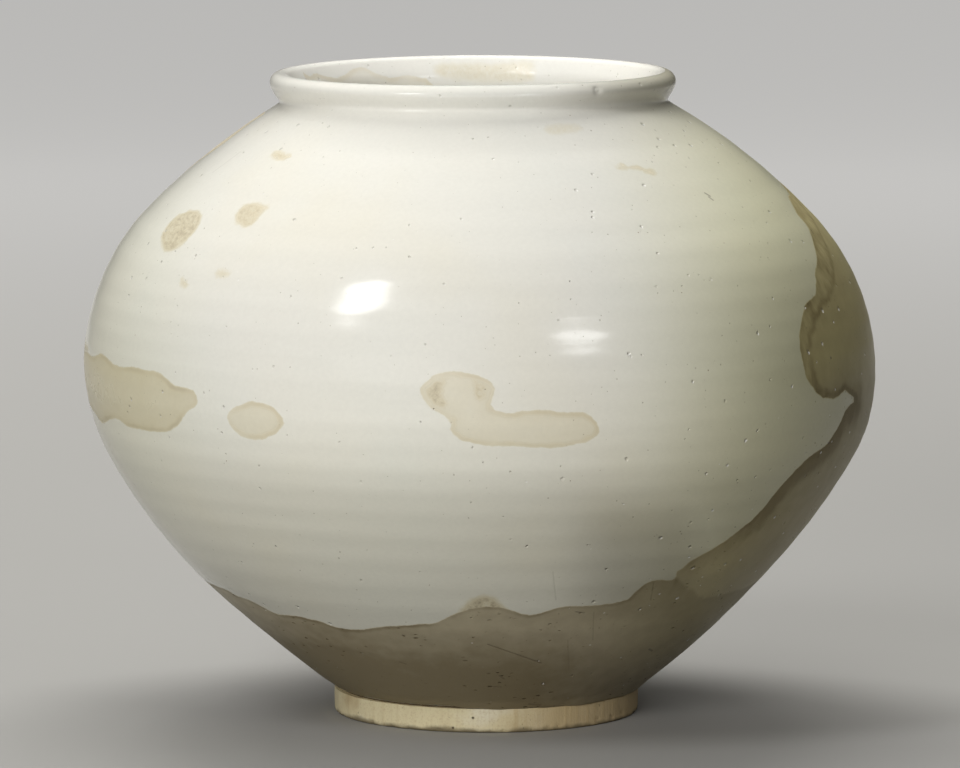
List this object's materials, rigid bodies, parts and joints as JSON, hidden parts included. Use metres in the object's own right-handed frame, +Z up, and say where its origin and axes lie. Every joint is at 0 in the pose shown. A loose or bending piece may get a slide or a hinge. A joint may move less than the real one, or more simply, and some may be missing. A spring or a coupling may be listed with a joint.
{
  "type": "moon jar",
  "caption": "Large, nearly round white porcelain storage jar, thrown as joined bowls, with a low rolled mouth rim, a bare foot ring and a slight lean.",
  "frame": {"origin": "on the ground, under the middle of the belly", "axes": "+Z up; the mouth leans towards -X; the side seen in the picture faces -Y"},
  "size_m": [0.44, 0.44, 0.358],
  "materials": {
    "porcelain": "fired porcelain clay under the glaze",
    "bare_clay": "unglazed, buff, finely scraped",
    "luting_slip": "fired slip in the joints",
    "glaze": "glossy, faintly green white with tan stains"
  },
  "bodies": {
    "root": {"lower_bowl": "porcelain", "upper_bowl": "porcelain", "mouth_rim": "porcelain", "foot_ring": "bare_clay", "belly_slip": "luting_slip", "rim_slip": "luting_slip", "foot_slip": "luting_slip", "outer_glaze": "glaze", "inner_glaze": "glaze", "base_glaze": "glaze"}
  },
  "joints": []
}
